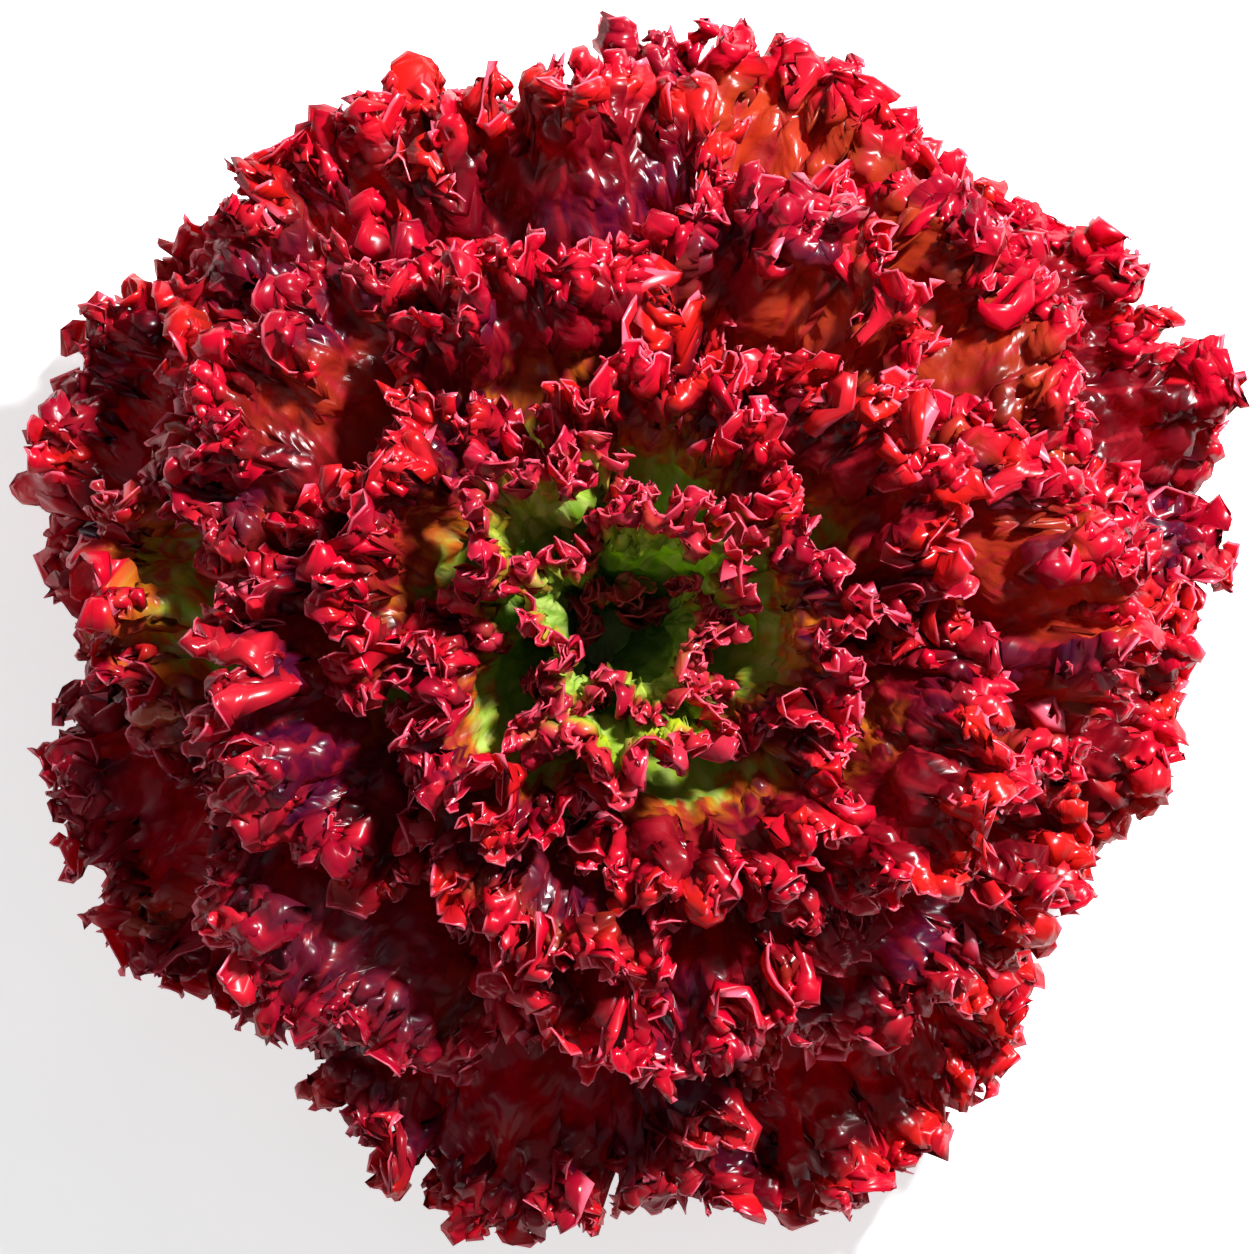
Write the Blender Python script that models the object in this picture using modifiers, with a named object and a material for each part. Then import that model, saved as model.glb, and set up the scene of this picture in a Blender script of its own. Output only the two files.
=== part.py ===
"""Lollo rosso lettuce: a whole cut head, standing on the cut face of its short stem.

Frilled leaves spiral up the stem at the golden angle. The oldest are the longest and lie nearly flat, and each
younger one is shorter and stands steeper, down to the small upright leaves of the heart. Metres, +Z up, with the
origin at the middle of the cut face.
"""

import math

import bpy
import numpy as np
from mathutils import Vector
from mathutils.bvhtree import BVHTree

# The stem
STEM_RADIUS = 0.017
STEM_HEIGHT = 0.048
STEM_BULGE = 2.2
STEM_ROUNDING = 0.75
STEM_RINGS = 14
STEM_SIDES = 28
RING_CROWDING = 1.5
MERGE_DISTANCE = 0.00005
SEAT_GAP = 0.0007

# The spiral of leaves up the stem, and how the head leans off the stem's middle
LEAVES = 33
GOLDEN_ANGLE = math.radians(137.508)
FIRST_AZIMUTH = math.radians(20)
SEED = 14
LEAN = (0.10, 0.02)
FLOOR_GAP = 0.0015
FLOOR_SOFTNESS = 0.005

# What grows with a leaf's age, each as (youngest, oldest, power of the age)
SEAT_HEIGHT = (0.0445, 0.0075, 1.0)
LENGTH = (0.036, 0.140, 0.38)
HALF_WIDTH = (0.0140, 0.071, 0.8)
BASE_HALF_WIDTH = (0.0035, 0.011, 0.8)
BASE_ELEVATION = (math.radians(84), math.radians(32), 1.0)
TIP_ELEVATION = (math.radians(86), math.radians(-18), 0.85)
RIB_THICKNESS = (0.0016, 0.0042, 1.0)
RIPPLE_HEIGHT = (0.0014, 0.0046, 0.6)
RIPPLE_LENGTH = (0.0110, 0.0200, 0.6)
SIDE_DROOP = (0.000, 0.006, 1.0)
CURL_WIDTH = (0.012, 0.030, 0.6)
AZIMUTH_SPREAD = (math.radians(4), math.radians(8), 0.7)
ELEVATION_SPREAD = (math.radians(2), math.radians(5), 0.7)
SIZE_SPREAD = (0.03, 0.07, 0.7)
SMALL_LOBE_DEPTH = (0.0, 0.035, 0.7)
FOLD_DRIFT = (0.8, 1.4, 0.7)
RIPPLE_SWAY = (0.0, 1.2, 0.7)
FRILL_WIDTH = (0.50, 0.36, 0.7)
RIPPLE_WIDTH = (0.26, 0.20, 0.7)
GREEN_AGE = 0.18

# The blade's flat outline: how far its margin turns about the blade's centre, and its shallow lobes
MARGIN_TURN = math.radians(94)
MARGIN_STEPS = 720
BLADE_CENTRE = 0.65
RAY_CURVE = 1.35
LOBES_PER_TURN = 3.6
LOBE_DEPTH = 0.05
SMALL_LOBES = 2.7
BLADE_THICKNESS = 0.0007
RIB_HALF_WIDTH = 0.0048
RIB_TAPER = 1.3

# The frill: folds that run out from the head's axis, with smaller ripples of each leaf's own along its margin.
# Folds round the whole head are given as (number of youngest leaves, folds).
FOLDS = ((3, 5), (8, 11), (LEAVES, 22))
FOLD_HEIGHT = 0.28
FOLD_CHANGE = 0.35
RIPPLE_SWAYS = 15
SWAY_SLANT = 5
CROWDING = (2, 2.9)
DRIFT_WAVES = 3.1
STRENGTH_WAVES = 4.3
PHASE_STEP = 0.35
PHASE_SPREAD = 0.7
FOLD_OVER = 0.12
PULL_IN = 0.4
FRILL_RISE = 1.2
CORNER_CALM = 12

# How far the margin curls outwards: most on the leaves between the youngest and the oldest
LEAST_CURL = math.radians(2)
CURL = math.radians(30)
CURL_CHANGE = 0.4
CURL_WAVES = 3.7

# Rows of a leaf's mesh from its base to its margin, each as (share of the way, segments)
ROWS = ((0.0, 4), (0.18, 4), (0.42, 8), (0.66, 16), (0.85, 32), (1.0, 64))
SMALL_ROWS = ((0.0, 4), (0.30, 4), (0.60, 8), (0.83, 16), (1.0, 32))
SMALL_LEAVES = 8

# How a leaf settles outside the younger ones: the room it leaves them, how far out it looks for them, how far it
# is bent in one round, and how much it is smoothed where it would cross itself
ROOM = 0.0018
CLEARANCE = 0.0006
REACH = 0.035
PUSH_RATE = 0.9
SMALLEST_PUSH = 0.0006
FIXED_SHARE = 0.1
MOST_ROUNDS = 60
SOFTENING = 0.93
OWN_CLEARANCES = (0, 0.0001)
MILLIMETRES = 1000


def aged(size, age):
    """A size at this age, from 0 for the youngest leaf to 1 for the oldest."""
    young, old, power = size
    return young + (old - young) * age**power


def stem_radius(height):
    """The stem's radius at a height above the cut face."""
    share = np.clip(height / STEM_HEIGHT, 0, 1)
    return STEM_RADIUS * (1 - share**STEM_BULGE) ** STEM_ROUNDING


class Leaf:
    """One leaf. Leaf 0 is the oldest and lowest. Its push is how far it is bent outwards, clear of younger ones."""

    def __init__(self, index):
        rng = np.random.default_rng([SEED, index])
        self.age = 1 - index / (LEAVES - 1)
        self.azimuth = FIRST_AZIMUTH + index * GOLDEN_ANGLE + rng.uniform(-1, 1) * aged(AZIMUTH_SPREAD, self.age)
        opening = rng.uniform(-1, 1) * aged(ELEVATION_SPREAD, self.age)
        self.base_elevation = aged(BASE_ELEVATION, self.age) + opening / 2
        self.tip_elevation = aged(TIP_ELEVATION, self.age) + opening
        self.length = aged(LENGTH, self.age) * (1 + rng.uniform(-1, 1) * aged(SIZE_SPREAD, self.age))
        self.half_width = aged(HALF_WIDTH, self.age) * (1 + rng.uniform(-1, 1) * aged(SIZE_SPREAD, self.age))
        self.ripple_phase, self.lobe_phase, self.drift_phase = rng.uniform(0, math.tau, 3)
        self.fold_phase = index * PHASE_STEP + rng.uniform(-1, 1) * PHASE_SPREAD
        self.folds = next(folds for youngest, folds in FOLDS if index >= LEAVES - youngest)
        self.seat_height = aged(SEAT_HEIGHT, self.age)
        half_rib = aged(RIB_THICKNESS, self.age) / 2
        self.seat_radius = stem_radius(self.seat_height) + SEAT_GAP + half_rib * math.sin(self.base_elevation)
        self.trace_margin()
        self.rows = SMALL_ROWS if index >= LEAVES - SMALL_LEAVES else ROWS
        self.push = [np.zeros(segments + 1) for _, segments in self.rows]
        self.crispness = 1.0

    def trace_margin(self):
        """The flat margin as points evenly spaced along it, from the left lower corner round the tip."""
        turn = np.linspace(-MARGIN_TURN, MARGIN_TURN, MARGIN_STEPS + 1)
        lobe_turn = turn * LOBES_PER_TURN + self.lobe_phase
        small_lobe = aged(SMALL_LOBE_DEPTH, self.age) * np.sin(lobe_turn * SMALL_LOBES)
        lobe = 1 + LOBE_DEPTH * np.sin(lobe_turn) + small_lobe
        across = self.half_width * np.sin(turn) * lobe
        along = self.length * (BLADE_CENTRE + (1 - BLADE_CENTRE) * np.cos(turn) * lobe)
        travelled = np.concatenate([[0], np.cumsum(np.hypot(np.diff(across), np.diff(along)))])
        self.margin_length = travelled[-1]
        self.margin = travelled / self.margin_length * 2 - 1, across, along

    def midrib(self, along):
        """Radius, height and elevation of the midrib's arc at a distance along it."""
        bend = (self.tip_elevation - self.base_elevation) / self.length
        elevation = self.base_elevation + bend * along
        radius = self.seat_radius + (np.sin(elevation) - math.sin(self.base_elevation)) / bend
        height = self.seat_height + (math.cos(self.base_elevation) - np.cos(elevation)) / bend
        return radius, height, elevation

    def flat_place(self, side, share):
        """Where a point lies on the flat blade: across it, along it, and how far in from the margin."""
        where, margin_across, margin_along = self.margin
        margin_across, margin_along = np.interp(side, where, margin_across), np.interp(side, where, margin_along)
        base_across = aged(BASE_HALF_WIDTH, self.age) * side
        across = base_across * (1 - share) + margin_across * share**RAY_CURVE
        inset = (1 - share) * np.hypot(margin_across - base_across, margin_along)
        return across, margin_along * share, inset

    def curled(self, side, share):
        """How far the margin's curl drops outwards, and the share of the way at which it then lies."""
        _, _, inset = self.flat_place(side, share)
        _, _, ray = self.flat_place(side, np.zeros(len(side)))
        width = aged(CURL_WIDTH, self.age)
        zone = np.clip(1 - inset / width, 0, 1) * (1 - np.abs(side) ** CORNER_CALM)
        change = 1 + CURL_CHANGE * np.sin(CURL_WAVES * side + self.drift_phase)
        angle = (LEAST_CURL + CURL * math.sin(math.pi * self.age)) * change
        drop = width * (1 - np.cos(angle * zone)) / angle
        return drop, share - width * (zone - np.sin(angle * zone) / angle) / ray

    def push_at(self, side, share):
        """The outward bend anywhere on the blade, between its values at the vertices of the rows."""
        rows = np.stack([np.interp(side, np.linspace(-1, 1, len(row)), row) for row in self.push])
        places = np.array([place for place, _ in self.rows])
        above = np.clip(np.searchsorted(places, share), 1, len(places) - 1)
        blend = (share - places[above - 1]) / (places[above] - places[above - 1])
        which = np.arange(len(side))
        return rows[above - 1, which] * (1 - blend) + rows[above, which] * blend

    def points(self, side, share):
        """The blade's middle surface at side (-1 to 1) and share of the way from the base to the margin (0 to 1)."""
        _, _, inset = self.flat_place(side, share)
        drop, curled_share = self.curled(side, share)
        across, along, _ = self.flat_place(side, curled_share)
        calm = 1 - np.abs(side) ** CORNER_CALM
        frill = calm * np.clip(1 - inset / (aged(FRILL_WIDTH, self.age) * self.length), 0, 1) ** FRILL_RISE
        margin_zone = calm * np.clip(1 - inset / (aged(RIPPLE_WIDTH, self.age) * self.length), 0, 1) ** FRILL_RISE

        radius, _, _ = self.midrib(along)
        azimuth = self.azimuth + across / radius
        spacing = math.tau * radius / self.folds
        drift = aged(FOLD_DRIFT, self.age) * np.sin(DRIFT_WAVES * side + self.drift_phase)
        turn = self.folds * azimuth + self.fold_phase + drift
        change = 1 + FOLD_CHANGE * np.sin(STRENGTH_WAVES * side + self.lobe_phase)
        strength = frill * (1 + self.crispness) / 2 * change
        fold = FOLD_HEIGHT * spacing * strength * np.sin(turn)
        slope = np.arctan(math.tau * FOLD_HEIGHT * strength * np.cos(turn))
        ripple_turn = math.pi * side * self.margin_length / aged(RIPPLE_LENGTH, self.age) + self.ripple_phase
        ripple_sway = aged(RIPPLE_SWAY, self.age) * np.sin(RIPPLE_SWAYS * share + SWAY_SLANT * side)
        ripple_turn = ripple_turn + CROWDING[0] * np.sin(CROWDING[1] * side) + ripple_sway
        ripple = margin_zone * self.crispness * aged(RIPPLE_HEIGHT, self.age) * np.sin(ripple_turn)
        droop = aged(SIDE_DROOP, self.age) * (across / self.half_width) ** 2
        lift = fold + ripple * np.cos(slope) - droop - drop - self.push_at(side, share)
        slide = -FOLD_OVER * spacing / math.tau * strength * np.sin(2 * turn) - ripple * np.sin(slope)
        pull = PULL_IN * fold**2 / (FOLD_HEIGHT * spacing)

        azimuth = azimuth + slide / radius
        radius, height, elevation = self.midrib(along - pull)
        radius = radius - lift * np.sin(elevation)
        height = height + lift * np.cos(elevation)
        height = FLOOR_GAP + FLOOR_SOFTNESS * np.logaddexp(0, (height - FLOOR_GAP) / FLOOR_SOFTNESS)
        leaning = np.clip(height - STEM_HEIGHT, 0, None)
        x = radius * np.cos(azimuth) + LEAN[0] * leaning
        y = radius * np.sin(azimuth) + LEAN[1] * leaning
        return np.stack([x, y, height], axis=-1)

    def outward(self, side, share):
        """Unit directions from the blade to the outside of the head, where it may be bent to."""
        across, along, _ = self.flat_place(side, share)
        radius, _, elevation = self.midrib(along)
        azimuth = self.azimuth + across / radius
        level = np.sin(elevation)
        return np.stack([level * np.cos(azimuth), level * np.sin(azimuth), -np.cos(elevation)], axis=-1)

    def thickness(self, side, share):
        """Blade thickness, with the midrib's ridge running out towards the tip."""
        across, _, _ = self.flat_place(side, share)
        rib = (aged(RIB_THICKNESS, self.age) - BLADE_THICKNESS) * (1 - share) ** RIB_TAPER
        return BLADE_THICKNESS + rib * np.exp(-((across / RIB_HALF_WIDTH) ** 2))


def leaf_sheet(rows):
    """A sheet's mesh rule: (side, share) of every vertex, and triangles whose number doubles towards the margin."""
    side, share, starts = [], [], []
    for place, segments in rows:
        starts.append(len(side))
        side.extend(np.linspace(-1, 1, segments + 1))
        share.extend([place] * (segments + 1))
    faces = []
    for (low, high), (_, segments), (_, above) in zip(zip(starts, starts[1:]), rows, rows[1:]):
        for k in range(segments):
            if above == segments:
                near, far, leaning = low + k, high + k, k < segments / 2
                corners = (near, near + 1, far + 1, far)
                cut = ((0, 1, 2), (0, 2, 3)) if leaning else ((0, 1, 3), (1, 2, 3))
                faces += [tuple(corners[c] for c in triangle) for triangle in cut]
            else:
                near, far = low + k, high + 2 * k
                faces += [(near, far + 1, far), (near, near + 1, far + 1), (near + 1, far + 2, far + 1)]
    return np.array(side), np.array(share), faces


def vertex_normals(points, faces):
    """Vertex normals of a triangle sheet, each face weighted by its angle at the vertex."""
    corners = points[np.array(faces)]
    flat = np.cross(corners[:, 1] - corners[:, 0], corners[:, 2] - corners[:, 0])
    flat /= np.linalg.norm(flat, axis=1, keepdims=True)
    normals = np.zeros_like(points)
    for corner in range(3):
        one = corners[:, (corner + 1) % 3] - corners[:, corner]
        other = corners[:, (corner + 2) % 3] - corners[:, corner]
        cosine = (one * other).sum(axis=1) / (np.linalg.norm(one, axis=1) * np.linalg.norm(other, axis=1))
        angle = np.arccos(np.clip(cosine, -1, 1))
        np.add.at(normals, np.array(faces)[:, corner], flat * angle[:, None])
    return normals / np.linalg.norm(normals, axis=1, keepdims=True)


def padded_leaf(points, thickness, faces, clearance):
    """A leaf's closed shell with each face half the clearance proud, as its points and triangles. The quads of its
    rim are cut both ways, since either way must be free."""
    count = len(points)
    offset = vertex_normals(points, faces) * ((thickness + clearance) / 2)[:, None]
    under = [(c + count, b + count, a + count) for a, b, c in faces]
    sides = {pair for a, b, c in faces for pair in ((a, b), (b, c), (c, a))}
    rim = []
    for a, b in sorted(pair for pair in sides if pair[::-1] not in sides):
        rim += [(b, a, a + count), (b, a + count, b + count), (a, a + count, b + count), (b, a, b + count)]
    return np.concatenate([points + offset, points - offset]), faces + under + rim


def crosses_itself(points, thickness, faces):
    """True if any of the leaf's triangles meet that share no corner, as it is or a little thicker."""
    for clearance in OWN_CLEARANCES:
        shell, triangles = padded_leaf(points, thickness, faces, clearance)
        tree = BVHTree.FromPolygons((shell * MILLIMETRES).tolist(), triangles)
        if any(not set(triangles[a]) & set(triangles[b]) for a, b in tree.overlap(tree)):
            return True
    return False


def new_material(name, colour, roughness):
    material = bpy.data.materials.new(name)
    material.use_nodes = True
    shader = material.node_tree.nodes["Principled BSDF"]
    shader.inputs["Base Color"].default_value = (*colour, 1)
    shader.inputs["Roughness"].default_value = roughness
    shader.inputs["Metallic"].default_value = 0
    return material


def make_stem(collection):
    """The short stem: a turned dome, cut flat at the bottom."""
    heights = STEM_HEIGHT * (1 - np.linspace(0, 1, STEM_RINGS) ** RING_CROWDING)
    profile = [(stem_radius(height), 0, height) for height in heights] + [(0, 0, 0)]
    mesh = bpy.data.meshes.new("stem")
    mesh.from_pydata(profile, [(k, k + 1) for k in range(len(profile) - 1)], [])
    stem = bpy.data.objects.new("stem", mesh)
    collection.objects.link(stem)
    screw = stem.modifiers.new("turned", "SCREW")
    screw.steps = screw.render_steps = STEM_SIDES
    screw.use_merge_vertices = True
    screw.merge_threshold = MERGE_DISTANCE
    screw.use_smooth_shade = False
    stem.data.materials.append(new_material("cut_stem", (0.72, 0.76, 0.48), 0.5))
    return stem


def make_leaf(collection, number, leaf, sheet, material):
    """The leaf's sheet, given its thickness by Solidify."""
    side, share, faces = sheet
    mesh = bpy.data.meshes.new(f"leaf_{number:02d}")
    mesh.from_pydata(leaf.points(side, share).tolist(), [], faces)
    mesh.materials.append(material)
    blade = bpy.data.objects.new(mesh.name, mesh)
    collection.objects.link(blade)
    thickness = leaf.thickness(side, share)
    group = blade.vertex_groups.new(name="thickness")
    for k, value in enumerate(thickness / thickness.max()):
        group.add([k], float(value), "REPLACE")
    shell = blade.modifiers.new("thickness", "SOLIDIFY")
    shell.thickness = thickness.max()
    shell.offset = 0
    shell.vertex_group = group.name


def one_tree(sheets):
    """One search tree over several sheets of (points, triangles)."""
    points, triangles = [], []
    for some, faces in sheets:
        triangles.extend((np.array(faces) + len(points)).tolist())
        points.extend(some.tolist())
    return BVHTree.FromPolygons(points, triangles)


def smoothed(push, edges):
    """The push raised, where it is lower, to its mean at the neighbouring vertices."""
    total, count = np.zeros(len(push)), np.zeros(len(push))
    np.add.at(total, edges[:, 0], push[edges[:, 1]])
    np.add.at(count, edges[:, 0], 1)
    return np.maximum(push, total / count)


def settle(leaf, sheet, solids, younger):
    """Bend the leaf outwards until it lies outside the younger ones and crosses nothing. Gives its tree and box."""
    side, share, faces = sheet
    corners = np.array(faces)
    edges = np.concatenate([corners[:, [0, 1]], corners[:, [1, 2]], corners[:, [2, 0]]])
    edges = np.concatenate([edges, edges[:, ::-1]])
    free = np.clip(share / FIXED_SHARE - 1, 0, 1)
    directions = leaf.outward(side, share)
    starts = np.cumsum([0] + [len(row) for row in leaf.push])
    thickness = leaf.thickness(side, share)
    for _ in range(MOST_ROUNDS):
        points = leaf.points(side, share)
        shell, triangles = padded_leaf(points, thickness, faces, CLEARANCE)
        tree = BVHTree.FromPolygons(shell.tolist(), triangles)
        low, high = shell.min(axis=0), shell.max(axis=0)
        touching = set()
        for other, (other_low, other_high) in solids:
            if (low < other_high).all() and (other_low < high).all():
                for own, _ in tree.overlap(other):
                    touching.update(corner % len(side) for corner in triangles[own])
        if crosses_itself(points, thickness, faces):
            leaf.crispness *= SOFTENING
        elif not touching:
            return tree, (low, high)
        need = np.zeros(len(side))
        for k, (point, direction) in enumerate(zip(points, directions)):
            distance = younger.ray_cast(Vector(point + direction * REACH), Vector(-direction), REACH + ROOM)[3]
            if distance is not None:
                need[k] = REACH + ROOM - distance
        for corner in touching:
            need[corner] = max(need[corner], SMALLEST_PUSH)
        push = smoothed(np.concatenate(leaf.push) + PUSH_RATE * need * free, edges) * (free > 0)
        leaf.push = [push[start:end] for start, end in zip(starts, starts[1:])]
    raise RuntimeError(f"a leaf found no room: {len(touching)} corners touch")


def main():
    for old in list(bpy.data.objects):
        bpy.data.objects.remove(old)
    collection = bpy.data.collections.new("lollo_rosso")
    bpy.context.scene.collection.children.link(collection)
    stem = make_stem(collection)
    bpy.context.view_layer.update()
    stem_tree = BVHTree.FromObject(stem, bpy.context.evaluated_depsgraph_get())
    stem_box = np.array([-STEM_RADIUS, -STEM_RADIUS, 0]), np.array([STEM_RADIUS, STEM_RADIUS, STEM_HEIGHT])

    red = new_material("red_leaf", (0.30, 0.02, 0.045), 0.35)
    green = new_material("green_heart", (0.38, 0.52, 0.09), 0.4)
    solids = [(stem_tree, stem_box)]
    sheets = []
    for index in reversed(range(LEAVES)):
        leaf = Leaf(index)
        sheet = leaf_sheet(leaf.rows)
        solids.append(settle(leaf, sheet, solids, one_tree(sheets)))
        sheets.append((leaf.points(*sheet[:2]), sheet[2]))
        make_leaf(collection, index + 1, leaf, sheet, green if leaf.age < GREEN_AGE else red)


main()
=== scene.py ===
"""Lollo rosso lettuce: the looks of one whole cut head, seen from straight above."""

import math

import bpy
import numpy as np
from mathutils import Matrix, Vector
from mathutils.bvhtree import BVHTree


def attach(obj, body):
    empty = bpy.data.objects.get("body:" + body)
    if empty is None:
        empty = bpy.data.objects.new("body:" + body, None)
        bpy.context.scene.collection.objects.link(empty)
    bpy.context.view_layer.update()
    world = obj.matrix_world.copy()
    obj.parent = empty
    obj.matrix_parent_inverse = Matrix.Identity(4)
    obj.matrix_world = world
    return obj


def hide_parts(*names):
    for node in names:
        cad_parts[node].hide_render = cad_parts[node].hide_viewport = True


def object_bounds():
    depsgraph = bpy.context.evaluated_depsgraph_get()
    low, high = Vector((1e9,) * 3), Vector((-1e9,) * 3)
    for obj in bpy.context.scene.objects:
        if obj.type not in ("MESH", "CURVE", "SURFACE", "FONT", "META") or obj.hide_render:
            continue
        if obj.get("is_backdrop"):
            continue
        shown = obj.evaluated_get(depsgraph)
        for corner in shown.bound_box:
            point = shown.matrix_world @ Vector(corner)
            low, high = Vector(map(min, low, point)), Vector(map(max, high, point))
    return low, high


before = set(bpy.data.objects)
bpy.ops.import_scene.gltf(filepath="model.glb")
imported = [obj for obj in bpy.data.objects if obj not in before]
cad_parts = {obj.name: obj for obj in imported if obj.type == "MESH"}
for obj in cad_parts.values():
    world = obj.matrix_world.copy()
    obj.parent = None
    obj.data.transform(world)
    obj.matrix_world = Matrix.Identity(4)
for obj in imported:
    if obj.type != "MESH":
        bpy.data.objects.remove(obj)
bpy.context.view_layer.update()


# The stem: the short stump that every leaf grows from, milky green inside, with a skin that is ribbed by
# the scars of lost leaves. It was cut through with a knife, so its flat base is moist and browns at the
# rim.

STEM_RADIUS = 0.017
STEM_HEIGHT = 0.048
STEM_BULGE = 2.2
STEM_ROUNDING = 0.75
STEM_RINGS = 72
STEM_SIDES = 144
STEM_SKIN = 0.0006
SCAR_PITCH = 0.0046
SCAR_DEPTH = 0.0007
SCAR_SPIRALS = (8, 13)
CUT_RINGS = 24
CUT_ROUNDING = 0.0009


def stem_radius(height):
    """The stem's radius at a height above the cut face."""
    share = np.clip(height / STEM_HEIGHT, 0, 1)
    return STEM_RADIUS * (1 - share**STEM_BULGE) ** STEM_ROUNDING


def turned(rings, sides, radius_at):
    """A closed turned mesh. Its rings are (radius, height) from the bottom middle to the top middle, and
    radius_at gives each one its radius round the axis."""
    around = np.linspace(0, math.tau, sides, endpoint=False)
    points = [(0, 0, rings[0][1])]
    for radius, height in rings[1:-1]:
        wide = radius_at(radius, height, around)
        points += list(zip(wide * np.cos(around), wide * np.sin(around), np.full(sides, height)))
    points.append((0, 0, rings[-1][1]))
    last = len(points) - 1
    faces = [(0, 1 + (k + 1) % sides, 1 + k) for k in range(sides)]
    for ring in range(len(rings) - 3):
        low, high = 1 + ring * sides, 1 + (ring + 1) * sides
        faces += [(low + k, low + (k + 1) % sides, high + (k + 1) % sides, high + k) for k in range(sides)]
    top = 1 + (len(rings) - 3) * sides
    faces += [(top + k, top + (k + 1) % sides, last) for k in range(sides)]
    return points, faces


def scarred(radius, height, around):
    """The stem's skin, lifted between the spiralling scars of its lost leaves."""
    spiral = (height / SCAR_PITCH + around * SCAR_SPIRALS[0] / math.tau) * math.tau
    counter = (height / SCAR_PITCH - around * SCAR_SPIRALS[1] / math.tau) * math.tau
    scar = SCAR_DEPTH * (np.sin(spiral) * np.sin(counter))
    skin = np.clip((height - CUT_ROUNDING) / SCAR_PITCH, 0, 1) * np.clip(radius / STEM_RADIUS * 2, 0, 1)
    return np.maximum(radius + (STEM_SKIN + scar) * skin, radius * 0.5)


class Wire:
    """A socket of a node tree. Python's operators on it add Math nodes to the tree."""

    def __init__(self, graph, socket):
        self.graph, self.socket = graph, socket

    def math(self, operation, *others):
        values = dict(enumerate((self, *others)))
        return self.graph.out("ShaderNodeMath", {"operation": operation}, values)

    def __add__(self, other):
        return self.math("ADD", other)

    __radd__ = __add__

    def __mul__(self, other):
        return self.math("MULTIPLY", other)

    __rmul__ = __mul__

    def __sub__(self, other):
        return self.math("SUBTRACT", other)

    def __rsub__(self, other):
        return (self * -1) + other

    def __truediv__(self, other):
        return self.math("DIVIDE", other)

    def __pow__(self, other):
        return self.math("POWER", other)

    def sin(self):
        return self.math("SINE")

    def cos(self):
        return self.math("COSINE")

    def size(self):
        return self.math("ABSOLUTE")

    def least(self, other):
        return self.math("MINIMUM", other)

    def most(self, other):
        return self.math("MAXIMUM", other)

    def rise(self, low, high):
        """0 below low, 1 above high and smooth between; high may be the lower of the two."""
        sockets = {"Value": self, "From Min": low, "From Max": high}
        return self.graph.out("ShaderNodeMapRange", {"interpolation_type": "SMOOTHSTEP"}, sockets)


class Graph:
    """A node tree that is being built."""

    def __init__(self, tree):
        self.tree = tree

    def node(self, kind, settings=(), sockets=()):
        """Any node: its settings are set first, then the values or links of its sockets."""
        node = self.tree.nodes.new(kind)
        for name, value in dict(settings).items():
            setattr(node, name, value)
        for key, value in dict(sockets).items():
            if isinstance(value, Wire):
                self.tree.links.new(value.socket, node.inputs[key])
            else:
                node.inputs[key].default_value = value
        return node

    def out(self, kind, settings=(), sockets=(), output=0):
        return Wire(self, self.node(kind, settings, sockets).outputs[output])

    def vector(self, operation, *values):
        return self.out("ShaderNodeVectorMath", {"operation": operation}, dict(enumerate(values)))

    def scaled(self, vector, factor):
        sockets = {0: vector, "Scale": factor}
        return self.out("ShaderNodeVectorMath", {"operation": "SCALE"}, sockets)

    def mixed(self, factor, one, other):
        """One colour turning into another as the factor goes from 0 to 1."""
        one = (*one, 1) if isinstance(one, tuple) else one
        other = (*other, 1) if isinstance(other, tuple) else other
        sockets = {0: factor, 6: one, 7: other}
        return self.out("ShaderNodeMix", {"data_type": "RGBA"}, sockets, 2)

    def noise(self, place, scale, detail):
        sockets = {"Vector": place, "Scale": scale, "Detail": detail}
        return self.out("ShaderNodeTexNoise", (), sockets)


def new_graph(name):
    """A material's empty graph, with the material and its output node."""
    material = bpy.data.materials.new(name)
    material.use_nodes = True
    material.node_tree.nodes.clear()
    graph = Graph(material.node_tree)
    return material, graph, graph.node("ShaderNodeOutputMaterial")


SKIN_GREEN = (0.42, 0.50, 0.20)
SKIN_PALE = (0.72, 0.76, 0.46)
SKIN_BLOT = (0.50, 0.33, 0.20)
CUT_MILKY = (0.80, 0.82, 0.60)
CUT_GREEN = (0.60, 0.68, 0.36)
CUT_BROWN = (0.42, 0.20, 0.08)

cut_stem, graph, surface = new_graph("cut_stem")
place = graph.out("ShaderNodeTexCoord", (), (), "Object")
axes = graph.node("ShaderNodeSeparateXYZ", (), {0: place})
height = Wire(graph, axes.outputs[2])
from_axis = graph.out("ShaderNodeVectorMath", {"operation": "LENGTH"},
                      {0: graph.vector("MULTIPLY", place, (1, 1, 0))}, 1)
fibres = graph.noise(graph.vector("MULTIPLY", place, (1, 1, 0.2)), 420, 4)
blots = graph.noise(place, 90, 3)
skin = graph.mixed(fibres, SKIN_GREEN, SKIN_PALE)
skin = graph.mixed(blots.rise(0.55, 0.75), skin, SKIN_BLOT)
out = from_axis / STEM_RADIUS
ring = out.rise(0.55, 0.62) * out.rise(0.74, 0.67)
flesh = graph.mixed(ring, CUT_MILKY, CUT_GREEN)
flesh = graph.mixed(out.rise(0.78, 1) * (fibres + 0.4), flesh, CUT_BROWN)
colour = graph.mixed(height.rise(CUT_ROUNDING * 0.5, CUT_ROUNDING * 1.5), flesh, skin)
bump = graph.out("ShaderNodeBump", (), {"Strength": 0.5, "Distance": 0.0004, "Height": fibres + blots * 0.6})
shader = graph.node("ShaderNodeBsdfPrincipled", (), {
    "Base Color": colour,
    "Roughness": fibres * 0.25 + 0.32,
    "Normal": bump,
    "Subsurface Weight": 0.15,
    "Subsurface Radius": (0.004, 0.004, 0.002),
    "Subsurface Scale": 1.0,
})
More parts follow.
